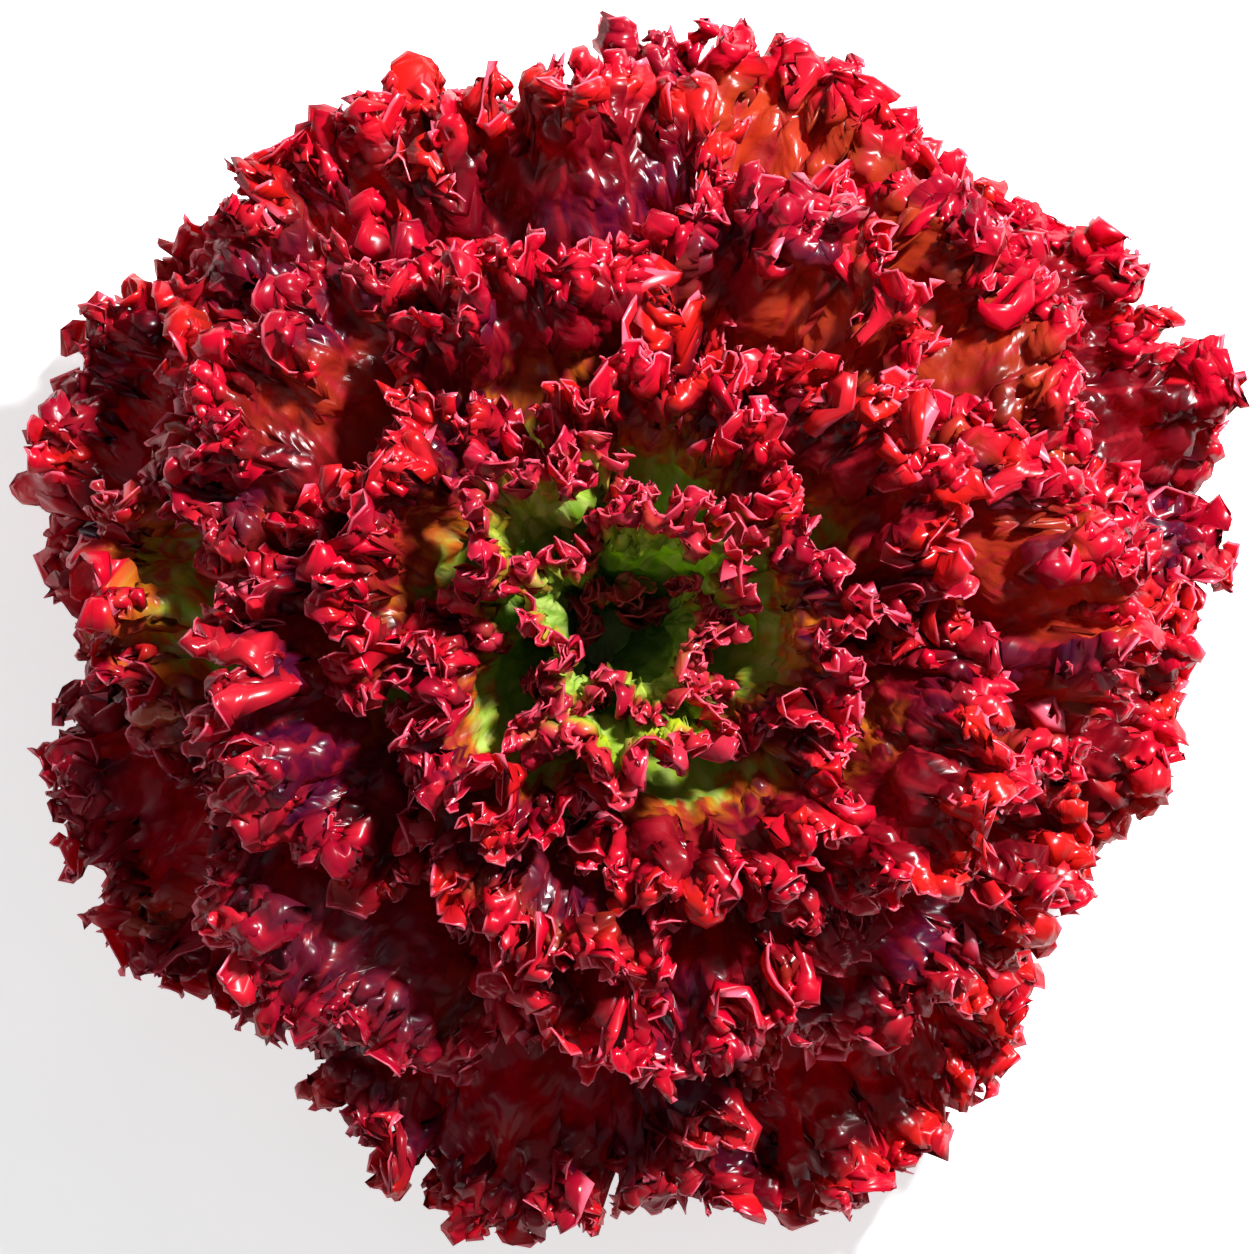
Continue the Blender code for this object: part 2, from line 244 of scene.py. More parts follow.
graph.tree.links.new(shader.outputs[0], surface.inputs[0])

cut_places = np.linspace(0, 1, CUT_RINGS)
rings = [(STEM_RADIUS * place, 0) for place in cut_places]
rings[-1] = (STEM_RADIUS - CUT_ROUNDING, 0)
for turn in np.linspace(0, math.pi / 2, 6)[1:]:
    rings.append((STEM_RADIUS - CUT_ROUNDING * (1 - math.sin(turn)), CUT_ROUNDING * (1 - math.cos(turn))))
heights = CUT_ROUNDING + (STEM_HEIGHT - CUT_ROUNDING) * (1 - (1 - np.linspace(0, 1, STEM_RINGS)) ** 1.5)
rings += [(stem_radius(height), height) for height in heights[1:-1]] + [(0, STEM_HEIGHT)]
points, faces = turned(rings, STEM_SIDES, scarred)
mesh = bpy.data.meshes.new("leaf_stem")
mesh.from_pydata(points, [], faces)
mesh.shade_smooth()
mesh.materials.append(cut_stem)
stem = bpy.data.objects.new("leaf_stem", mesh)
bpy.context.scene.collection.objects.link(stem)
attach(stem, "root")
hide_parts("stem")


# The rule that all the leaves grow by. They spiral up the stem at the golden angle, the oldest long and
# low, the youngest short and upright. Each blade outgrows its own margin, so it buckles into folds and
# ripples, and it is bent outwards until it lies clear of the younger ones.

LEAVES = 33
GOLDEN_ANGLE = math.radians(137.508)
FIRST_AZIMUTH = math.radians(20)
SEED = 14
LEAN = (0.10, 0.02)
FLOOR_GAP = 0.0015
FLOOR_SOFTNESS = 0.005
SEAT_GAP = 0.0007

# Sizes that grow with a leaf's age, each as (youngest, oldest, power of the age)
SEAT_HEIGHT = (0.0445, 0.0075, 1.0)
LENGTH = (0.036, 0.140, 0.38)
HALF_WIDTH = (0.0140, 0.071, 0.8)
BASE_HALF_WIDTH = (0.0035, 0.011, 0.8)
BASE_ELEVATION = (math.radians(84), math.radians(32), 1.0)
TIP_ELEVATION = (math.radians(86), math.radians(-18), 0.85)
RIB_THICKNESS = (0.0016, 0.0042, 1.0)
RIPPLE_HEIGHT = (0.0014, 0.0046, 0.6)
RIPPLE_LENGTH = (0.0110, 0.0200, 0.6)
SIDE_DROOP = (0.000, 0.006, 1.0)
CURL_WIDTH = (0.012, 0.030, 0.6)
AZIMUTH_SPREAD = (math.radians(4), math.radians(8), 0.7)
ELEVATION_SPREAD = (math.radians(2), math.radians(5), 0.7)
SIZE_SPREAD = (0.03, 0.07, 0.7)
SMALL_LOBE_DEPTH = (0.0, 0.035, 0.7)
FOLD_DRIFT = (0.8, 1.4, 0.7)
RIPPLE_SWAY = (0.0, 1.2, 0.7)
FRILL_WIDTH = (0.50, 0.36, 0.7)
RIPPLE_WIDTH = (0.26, 0.20, 0.7)

MARGIN_TURN = math.radians(94)
MARGIN_STEPS = 720
BLADE_CENTRE = 0.65
RAY_CURVE = 1.35
LOBES_PER_TURN = 3.6
LOBE_DEPTH = 0.05
SMALL_LOBES = 2.7
BLADE_THICKNESS = 0.0007
RIB_HALF_WIDTH = 0.0048
RIB_TAPER = 1.3

# Folds round the whole head are given as (number of youngest leaves, folds)
FOLDS = ((3, 5), (8, 11), (LEAVES, 22))
FOLD_HEIGHT = 0.28
FOLD_CHANGE = 0.35
RIPPLE_SWAYS = 15
SWAY_SLANT = 5
CROWDING = (2, 2.9)
DRIFT_WAVES = 3.1
STRENGTH_WAVES = 4.3
PHASE_STEP = 0.35
PHASE_SPREAD = 0.7
FOLD_OVER = 0.12
PULL_IN = 0.4
FRILL_RISE = 1.2
CORNER_CALM = 12

# How far the margin curls outwards: most on the leaves between the youngest and the oldest
LEAST_CURL = math.radians(2)
CURL = math.radians(30)
CURL_CHANGE = 0.4
CURL_WAVES = 3.7

# Rows of the sheet that settles, from its base to its margin, each as (share of the way, segments)
ROWS = ((0.0, 4), (0.18, 4), (0.42, 8), (0.66, 16), (0.85, 32), (1.0, 64))
SMALL_ROWS = ((0.0, 4), (0.30, 4), (0.60, 8), (0.83, 16), (1.0, 32))
SMALL_LEAVES = 8

ROOM = 0.0018
CLEARANCE = 0.0006
REACH = 0.035
PUSH_RATE = 0.9
SMALLEST_PUSH = 0.0006
FIXED_SHARE = 0.1
MOST_ROUNDS = 60
SOFTENING = 0.93
OWN_CLEARANCES = (0, 0.0001)
MILLIMETRES = 1000


def aged(size, age):
    """A size at this age, from 0 for the youngest leaf to 1 for the oldest."""
    young, old, power = size
    return young + (old - young) * age**power


class Leaf:
    """One leaf. Leaf 0 is the oldest and lowest. Its push is how far it is bent outwards."""

    def __init__(self, index):
        rng = np.random.default_rng([SEED, index])
        self.age = 1 - index / (LEAVES - 1)
        aside = rng.uniform(-1, 1) * aged(AZIMUTH_SPREAD, self.age)
        self.azimuth = FIRST_AZIMUTH + index * GOLDEN_ANGLE + aside
        opening = rng.uniform(-1, 1) * aged(ELEVATION_SPREAD, self.age)
        self.base_elevation = aged(BASE_ELEVATION, self.age) + opening / 2
        self.tip_elevation = aged(TIP_ELEVATION, self.age) + opening
        self.length = aged(LENGTH, self.age) * (1 + rng.uniform(-1, 1) * aged(SIZE_SPREAD, self.age))
        self.half_width = aged(HALF_WIDTH, self.age) * (1 + rng.uniform(-1, 1) * aged(SIZE_SPREAD, self.age))
        self.ripple_phase, self.lobe_phase, self.drift_phase = rng.uniform(0, math.tau, 3)
        self.fold_phase = index * PHASE_STEP + rng.uniform(-1, 1) * PHASE_SPREAD
        self.folds = next(folds for youngest, folds in FOLDS if index >= LEAVES - youngest)
        self.seat_height = aged(SEAT_HEIGHT, self.age)
        half_rib = aged(RIB_THICKNESS, self.age) / 2
        self.seat_radius = stem_radius(self.seat_height) + SEAT_GAP + half_rib * math.sin(self.base_elevation)
        self.trace_margin()
        self.rows = SMALL_ROWS if index >= LEAVES - SMALL_LEAVES else ROWS
        self.push = [np.zeros(segments + 1) for _, segments in self.rows]
        self.crispness = 1.0

    def trace_margin(self):
        """The flat margin as points evenly spaced along it, from the left lower corner round the tip."""
        turn = np.linspace(-MARGIN_TURN, MARGIN_TURN, MARGIN_STEPS + 1)
        lobe_turn = turn * LOBES_PER_TURN + self.lobe_phase
        small_lobe = aged(SMALL_LOBE_DEPTH, self.age) * np.sin(lobe_turn * SMALL_LOBES)
        lobe = 1 + LOBE_DEPTH * np.sin(lobe_turn) + small_lobe
        across = self.half_width * np.sin(turn) * lobe
        along = self.length * (BLADE_CENTRE + (1 - BLADE_CENTRE) * np.cos(turn) * lobe)
        travelled = np.concatenate([[0], np.cumsum(np.hypot(np.diff(across), np.diff(along)))])
        self.margin_length = travelled[-1]
        self.margin = travelled / self.margin_length * 2 - 1, across, along

    def midrib(self, along):
        """Radius, height and elevation of the midrib's arc at a distance along it."""
        bend = (self.tip_elevation - self.base_elevation) / self.length
        elevation = self.base_elevation + bend * along
        radius = self.seat_radius + (np.sin(elevation) - math.sin(self.base_elevation)) / bend
        height = self.seat_height + (math.cos(self.base_elevation) - np.cos(elevation)) / bend
        return radius, height, elevation

    def flat_place(self, side, share):
        """Where a point lies on the flat blade: across it, along it, and how far in from the margin."""
        where, margin_across, margin_along = self.margin
        margin_across = np.interp(side, where, margin_across)
        margin_along = np.interp(side, where, margin_along)
        base_across = aged(BASE_HALF_WIDTH, self.age) * side
        across = base_across * (1 - share) + margin_across * share**RAY_CURVE
        inset = (1 - share) * np.hypot(margin_across - base_across, margin_along)
        return across, margin_along * share, inset

    def curled(self, side, share):
        """How far the margin's curl drops outwards, and the share of the way at which it then lies."""
        _, _, inset = self.flat_place(side, share)
        _, _, ray = self.flat_place(side, np.zeros(len(side)))
        width = aged(CURL_WIDTH, self.age)
        zone = np.clip(1 - inset / width, 0, 1) * (1 - np.abs(side) ** CORNER_CALM)
        change = 1 + CURL_CHANGE * np.sin(CURL_WAVES * side + self.drift_phase)
        angle = (LEAST_CURL + CURL * math.sin(math.pi * self.age)) * change
        drop = width * (1 - np.cos(angle * zone)) / angle
        return drop, share - width * (zone - np.sin(angle * zone) / angle) / ray

    def push_at(self, side, share):
        """The outward bend anywhere on the blade, between its values at the vertices of the rows."""
        rows = np.stack([np.interp(side, np.linspace(-1, 1, len(row)), row) for row in self.push])
        places = np.array([place for place, _ in self.rows])
        above = np.clip(np.searchsorted(places, share), 1, len(places) - 1)
        blend = (share - places[above - 1]) / (places[above] - places[above - 1])
        which = np.arange(len(side))
        return rows[above - 1, which] * (1 - blend) + rows[above, which] * blend

    def points(self, side, share):
        """The blade's middle surface at side (-1 to 1) and share of the way from base to margin (0 to 1)."""
        _, _, inset = self.flat_place(side, share)
        drop, curled_share = self.curled(side, share)
        across, along, _ = self.flat_place(side, curled_share)
        calm = 1 - np.abs(side) ** CORNER_CALM
        frill = calm * np.clip(1 - inset / (aged(FRILL_WIDTH, self.age) * self.length), 0, 1) ** FRILL_RISE
        ripple_reach = aged(RIPPLE_WIDTH, self.age) * self.length
        margin_zone = calm * np.clip(1 - inset / ripple_reach, 0, 1) ** FRILL_RISE

        radius, _, _ = self.midrib(along)
        azimuth = self.azimuth + across / radius
        spacing = math.tau * radius / self.folds
        drift = aged(FOLD_DRIFT, self.age) * np.sin(DRIFT_WAVES * side + self.drift_phase)
        turn = self.folds * azimuth + self.fold_phase + drift
        change = 1 + FOLD_CHANGE * np.sin(STRENGTH_WAVES * side + self.lobe_phase)
        strength = frill * (1 + self.crispness) / 2 * change
        fold = FOLD_HEIGHT * spacing * strength * np.sin(turn)
        slope = np.arctan(math.tau * FOLD_HEIGHT * strength * np.cos(turn))
        ripple_turn = math.pi * side * self.margin_length / aged(RIPPLE_LENGTH, self.age) + self.ripple_phase
        ripple_sway = aged(RIPPLE_SWAY, self.age) * np.sin(RIPPLE_SWAYS * share + SWAY_SLANT * side)
        ripple_turn = ripple_turn + CROWDING[0] * np.sin(CROWDING[1] * side) + ripple_sway
        ripple = margin_zone * self.crispness * aged(RIPPLE_HEIGHT, self.age) * np.sin(ripple_turn)
        droop = aged(SIDE_DROOP, self.age) * (across / self.half_width) ** 2
        lift = fold + ripple * np.cos(slope) - droop - drop - self.push_at(side, share)
        slide = -FOLD_OVER * spacing / math.tau * strength * np.sin(2 * turn) - ripple * np.sin(slope)
        pull = PULL_IN * fold**2 / (FOLD_HEIGHT * spacing)

        azimuth = azimuth + slide / radius
        radius, height, elevation = self.midrib(along - pull)
        radius = radius - lift * np.sin(elevation)
        height = height + lift * np.cos(elevation)
        height = FLOOR_GAP + FLOOR_SOFTNESS * np.logaddexp(0, (height - FLOOR_GAP) / FLOOR_SOFTNESS)
        leaning = np.clip(height - STEM_HEIGHT, 0, None)
        x = radius * np.cos(azimuth) + LEAN[0] * leaning
        y = radius * np.sin(azimuth) + LEAN[1] * leaning
        return np.stack([x, y, height], axis=-1)

    def outward(self, side, share):
        """Unit directions from the blade to the outside of the head, where it may be bent to."""
        across, along, _ = self.flat_place(side, share)
        radius, _, elevation = self.midrib(along)
        azimuth = self.azimuth + across / radius
        level = np.sin(elevation)
        return np.stack([level * np.cos(azimuth), level * np.sin(azimuth), -np.cos(elevation)], axis=-1)

    def thickness(self, side, share):
        """Blade thickness, with the midrib's ridge running out towards the tip."""
        across, _, _ = self.flat_place(side, share)
        rib = (aged(RIB_THICKNESS, self.age) - BLADE_THICKNESS) * (1 - share) ** RIB_TAPER
        return BLADE_THICKNESS + rib * np.exp(-((across / RIB_HALF_WIDTH) ** 2))


def leaf_sheet(rows):
    """A sheet's mesh rule: (side, share) of every vertex, and triangles that double towards the margin."""
    side, share, starts = [], [], []
    for place, segments in rows:
        starts.append(len(side))
        side.extend(np.linspace(-1, 1, segments + 1))
        share.extend([place] * (segments + 1))
    faces = []
    for (low, high), (_, segments), (_, above) in zip(zip(starts, starts[1:]), rows, rows[1:]):
        for k in range(segments):
            if above == segments:
                near, far, leaning = low + k, high + k, k < segments / 2
                corners = (near, near + 1, far + 1, far)
                cut = ((0, 1, 2), (0, 2, 3)) if leaning else ((0, 1, 3), (1, 2, 3))
                faces += [tuple(corners[c] for c in triangle) for triangle in cut]
            else:
                near, far = low + k, high + 2 * k
                faces += [(near, far + 1, far), (near, near + 1, far + 1), (near + 1, far + 2, far + 1)]
    return np.array(side), np.array(share), faces


def vertex_normals(points, faces):
    """Vertex normals of a triangle sheet, each face weighted by its angle at the vertex."""
    corners = points[np.array(faces)]
    flat = np.cross(corners[:, 1] - corners[:, 0], corners[:, 2] - corners[:, 0])
    flat /= np.linalg.norm(flat, axis=1, keepdims=True)
    normals = np.zeros_like(points)
    for corner in range(3):
        one = corners[:, (corner + 1) % 3] - corners[:, corner]
        other = corners[:, (corner + 2) % 3] - corners[:, corner]
        cosine = (one * other).sum(axis=1) / (np.linalg.norm(one, axis=1) * np.linalg.norm(other, axis=1))
        angle = np.arccos(np.clip(cosine, -1, 1))
        np.add.at(normals, np.array(faces)[:, corner], flat * angle[:, None])
    return normals / np.linalg.norm(normals, axis=1, keepdims=True)


def padded_leaf(points, thickness, faces, clearance):
    """A leaf's closed shell with each face half the clearance proud, as its points and triangles. The quads
    of its rim are cut both ways, since either way must be free."""
    count = len(points)
    offset = vertex_normals(points, faces) * ((thickness + clearance) / 2)[:, None]
    under = [(c + count, b + count, a + count) for a, b, c in faces]
    sides = {pair for a, b, c in faces for pair in ((a, b), (b, c), (c, a))}
    rim = []
    for a, b in sorted(pair for pair in sides if pair[::-1] not in sides):
        rim += [(b, a, a + count), (b, a + count, b + count), (a, a + count, b + count), (b, a, b + count)]
    return np.concatenate([points + offset, points - offset]), faces + under + rim


def crosses_itself(points, thickness, faces):
    """True if any of the leaf's triangles meet that share no corner, as it is or a little thicker."""
    for clearance in OWN_CLEARANCES:
        shell, triangles = padded_leaf(points, thickness, faces, clearance)
        tree = BVHTree.FromPolygons((shell * MILLIMETRES).tolist(), triangles)
        if any(not set(triangles[a]) & set(triangles[b]) for a, b in tree.overlap(tree)):
            return True
    return False


def one_tree(sheets):
    """One search tree over several sheets of (points, triangles)."""
    points, triangles = [], []
    for some, faces in sheets:
        triangles.extend((np.array(faces) + len(points)).tolist())
        points.extend(some.tolist())
    return BVHTree.FromPolygons(points, triangles)


def smoothed(push, edges):
    """The push raised, where it is lower, to its mean at the neighbouring vertices."""
    total, count = np.zeros(len(push)), np.zeros(len(push))
    np.add.at(total, edges[:, 0], push[edges[:, 1]])
    np.add.at(count, edges[:, 0], 1)
    return np.maximum(push, total / count)


def settle(leaf, sheet, solids, younger):
    """Bend the leaf outwards until it crosses nothing. Gives its tree and box."""
    side, share, faces = sheet
    corners = np.array(faces)
    edges = np.concatenate([corners[:, [0, 1]], corners[:, [1, 2]], corners[:, [2, 0]]])
    edges = np.concatenate([edges, edges[:, ::-1]])
    free = np.clip(share / FIXED_SHARE - 1, 0, 1)
    directions = leaf.outward(side, share)
    starts = np.cumsum([0] + [len(row) for row in leaf.push])
    thickness = leaf.thickness(side, share)
    for _ in range(MOST_ROUNDS):
        points = leaf.points(side, share)
        shell, triangles = padded_leaf(points, thickness, faces, CLEARANCE)
        tree = BVHTree.FromPolygons(shell.tolist(), triangles)
        low, high = shell.min(axis=0), shell.max(axis=0)
        touching = set()
        for other, (other_low, other_high) in solids:
            if (low < other_high).all() and (other_low < high).all():
                for own, _ in tree.overlap(other):
                    touching.update(corner % len(side) for corner in triangles[own])
        if crosses_itself(points, thickness, faces):
            leaf.crispness *= SOFTENING
        elif not touching:
            return tree, (low, high)
        need = np.zeros(len(side))
        for k, (point, direction) in enumerate(zip(points, directions)):
            start = Vector(point + direction * REACH)
            distance = younger.ray_cast(start, Vector(-direction), REACH + ROOM)[3]
            if distance is not None:
                need[k] = REACH + ROOM - distance
        for corner in touching:
            need[corner] = max(need[corner], SMALLEST_PUSH)
        push = smoothed(np.concatenate(leaf.push) + PUSH_RATE * need * free, edges) * (free > 0)
        leaf.push = [push[start:end] for start, end in zip(starts, starts[1:])]
    raise RuntimeError(f"a leaf found no room: {len(touching)} corners touch")


stem_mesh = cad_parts["stem"].data
stem_tree = BVHTree.FromPolygons([vertex.co for vertex in stem_mesh.vertices],
                                 [polygon.vertices for polygon in stem_mesh.polygons])
stem_box = np.array([-STEM_RADIUS, -STEM_RADIUS, 0]), np.array([STEM_RADIUS, STEM_RADIUS, STEM_HEIGHT])
solids = [(stem_tree, stem_box)]
sheets = []
leaves = {}
for index in reversed(range(LEAVES)):
    leaf = Leaf(index)
    sheet = leaf_sheet(leaf.rows)
    solids.append(settle(leaf, sheet, solids, one_tree(sheets)))
    sheets.append((leaf.points(*sheet[:2]), sheet[2]))
    leaves[index + 1] = leaf


# The frill that every blade has on top of its folds: ruffles that curl over at the margin, sharp teeth
# along its edge, and blisters that swell up between the veins. One node tree makes it from each leaf's
# smooth sheet.

# Where things end, as distances in from the margin
LOBE_REACH = 0.035
BAY_REACH = 0.008
TOOTH_REACH = 0.0040

# Each leaf's patterns are taken this far from the next one's
LEAF_APART = 0.37

BLISTER_SIZE = 0.0056
BLISTER_ROUNDING = 0.36
SWELL_HEIGHT = 0.012
FINE_CELLS = 2.5

frill = bpy.data.node_groups.new("leaf_frill", "GeometryNodeTree")
frill.interface.new_socket("Leaf", in_out="OUTPUT", socket_type="NodeSocketGeometry")
frill_inputs = {}
SIZES = ("Lobe depth", "Wave length", "Wave height", "Wave width", "Ruffle length", "Ruffle height",
         "Ruffle width", "Bay length", "Bay depth", "Tooth length", "Tooth depth", "Curl", "Curl width",
         "Blister height", "Seed")
for name in ("Blade", *SIZES, "Finish"):
    kind = {"Blade": "NodeSocketGeometry", "Finish": "NodeSocketMaterial"}.get(name, "NodeSocketFloat")
    frill_inputs[name] = frill.interface.new_socket(name, in_out="INPUT", socket_type=kind).identifier

graph = Graph(frill)
given = graph.node("NodeGroupInput")
size = {name: Wire(graph, given.outputs[name]) for name in frill_inputs}


def attribute(name, kind="FLOAT"):
    return graph.out("GeometryNodeInputNamedAttribute", {"data_type": kind}, {"Name": name})


def moved(blade, offset):
    return graph.out("GeometryNodeSetPosition", (), {"Geometry": blade, "Offset": offset})


def kept(blade, name, value, kind="FLOAT"):
    """The blade with a value kept at its points."""
    return graph.out("GeometryNodeStoreNamedAttribute", {"data_type": kind, "domain": "POINT"}, {
        "Geometry": blade, "Name": name, "Value": value})


inset, rim_place, calm = attribute("inset"), attribute("rim_place"), attribute("calm")
flat, along_rim = attribute("flat", "FLOAT_VECTOR"), attribute("along_rim", "FLOAT_VECTOR")
to_rim = attribute("to_rim", "FLOAT_VECTOR")
normal = graph.out("GeometryNodeInputNormal")
blade = size["Blade"]


def wander(length, offset):
    """Slow noise along the margin, from about -1 to 1."""
    place = rim_place / length + size["Seed"] * 17.3 + offset
    return graph.out("ShaderNodeTexNoise", {"noise_dimensions": "1D"}, {"W": place, "Detail": 1.0}) * 4 - 2


def near_rim(width, power=1.0):
    """1 at the margin, falling to 0 at this distance in from it."""
    return (1 - inset / width).most(0) ** power * calm


# the margin's lobes: it is cut in between them, runs in and out in rounded bays, and has small sharp teeth
cut = (wander(0.017, 63.9) - 0.1).most(0).least(1) * size["Lobe depth"]
blade = moved(blade, graph.scaled(to_rim, cut * near_rim(LOBE_REACH) * -1))
turn = (rim_place / size["Bay length"] + wander(0.015, 41.3) * 0.6) * math.tau
bay = (turn.sin() * 0.5 - 0.2) * (wander(0.010, 50.5) * 0.6 + 0.9)
blade = moved(blade, graph.scaled(to_rim, bay * near_rim(BAY_REACH) * size["Bay depth"]))
turn = rim_place / size["Tooth length"] + wander(0.006, 71.9) * 0.6
tip = (turn.math("FRACT") * 2 - 1).size() ** 2.6 * (wander(0.003, 81.1) * 0.6 + 0.9)
blade = moved(blade, graph.scaled(to_rim, (tip - 0.40) * near_rim(TOOTH_REACH) * size["Tooth depth"]))

# the margin curls over, mostly outwards
zone = near_rim(size["Curl width"])
bend = size["Curl"] * (wander(0.013, 21.7) * 0.75 - 0.42) + 0.013
angle = bend * zone
face = graph.vector("NORMALIZE", graph.vector("CROSS_PRODUCT", to_rim, along_rim))
up = graph.scaled(face, size["Curl width"] * (1 - angle.cos()) / bend)
back = graph.scaled(to_rim, size["Curl width"] * (angle.sin() / bend - zone))
blade = moved(blade, graph.vector("ADD", up, back))

# waves and, on their flanks, ruffles: both lean over and rise more than they sink
for name, shift, leaning, rising in (("Wave", 0.0, -0.28, 0.35), ("Ruffle", 30.0, -0.2, 0.2)):
    high = size[f"{name} height"] * near_rim(size[f"{name} width"], 1.2)
    high = high * (wander(0.012, 7.7 + shift) * 0.45 + 1)
    swirl = graph.noise(graph.vector("ADD", flat, (0, 0, shift)), 60, 1.0) * 2.6 - 1.3
    turn = (rim_place / size[f"{name} length"] + wander(0.024, 3.1 + shift) * 0.8 + swirl) * math.tau
    up = graph.scaled(normal, high * (turn.sin() + rising))
    over = graph.scaled(along_rim, high * (turn * 2).sin() * leaning)
    blade = moved(blade, graph.vector("ADD", up, over))

# what the finish reads: cells on the folded skin for the veins' net and the blisters, and changes of tint
apart = graph.out("ShaderNodeCombineXYZ", (), {2: size["Seed"] * LEAF_APART})
place = graph.out("GeometryNodeInputPosition")
cell = graph.scaled(graph.vector("ADD", place, apart), 1 / BLISTER_SIZE)
warp = graph.out("ShaderNodeTexNoise", (), {"Vector": cell, "Scale": 0.7, "Detail": 1.0}, 1)
cell = graph.vector("ADD", cell, graph.scaled(warp, 0.9))
blade = kept(blade, "cell", cell, "FLOAT_VECTOR")
cell = attribute("cell", "FLOAT_VECTOR")
net = graph.out("ShaderNodeTexVoronoi", {"feature": "DISTANCE_TO_EDGE"}, {"Vector": cell, "Scale": 1.0})
blade = kept(blade, "net", net)
fine = graph.out("ShaderNodeTexVoronoi", {"feature": "F1"}, {"Vector": cell, "Scale": FINE_CELLS})
blade = kept(blade, "fine", fine)
for name, where, scale, detail in (
    ("freckles", flat, 500, 1),
    ("patches", flat, 55, 3),
    ("swerve", flat, 60, 2),
    ("warmth", flat, 67, 2),
    ("tints", place, 24, 2),
    ("sheen", place, 38, 2),
):
    blade = kept(blade, name, graph.noise(where, scale, detail))

# blisters between the veins, and none on the midrib or at the very margin
dome = attribute("net").rise(0.0, BLISTER_ROUNDING)
room = inset.rise(0.001, 0.007) * attribute("from_rib").rise(0.001, 0.006)
blister = dome * room * size["Blister height"] * (graph.noise(cell, 0.5, 1.0).rise(0.3, 0.7) * 0.8 + 0.35)
swell = (graph.noise(flat, 85, 1) - 0.5) * SWELL_HEIGHT
swell = swell * inset.rise(0.004, 0.016) * attribute("share").rise(0.2, 0.6)
blade = moved(blade, graph.scaled(normal, blister + swell))

whole = graph.out("GeometryNodeRealizeInstances", (), {"Geometry": blade})
done = graph.out("GeometryNodeSetMaterial", (), {"Geometry": whole, "Material": size["Finish"]})
graph.node("NodeGroupOutput", (), {"Leaf": done})


# The leaves' finish, glossy and thin: burgundy blades with pinkish veins, brighter crimson frills with a
# fine pale pink line along the edge that is a painted highlight, and green at the base. In the heart little
# red has formed, so the blades are green and only their rims are red. Blades and rims turn dusky in random
# patches and, as painted shade, towards the side away from the key light.

WAX_ROUGHNESS = (0.18, 0.40)
WAX_GLOSS = 0.40
CRACKLE_STRENGTH = 0.7
CRACKLE_DEPTH = 0.0006
# painted highlight: a thin pale pink line along the margin stands in for light catching the edge
PAINTED_HIGHLIGHT_WIDTH = 0.00055
PAINTED_HIGHLIGHT_STRENGTH = 0.8
# painted shade: how much darker and duskier the blades and rims are painted towards the lower left, the side
# away from the key light
SHADED_SIDE = -0.45
THROUGH = 0.36
BASE_VEIN = (0.50, 0.62, 0.16)
BASE_THROUGH = (0.55, 0.80, 0.04)
RIM_THROUGH = (0.95, 0.015, 0.02)


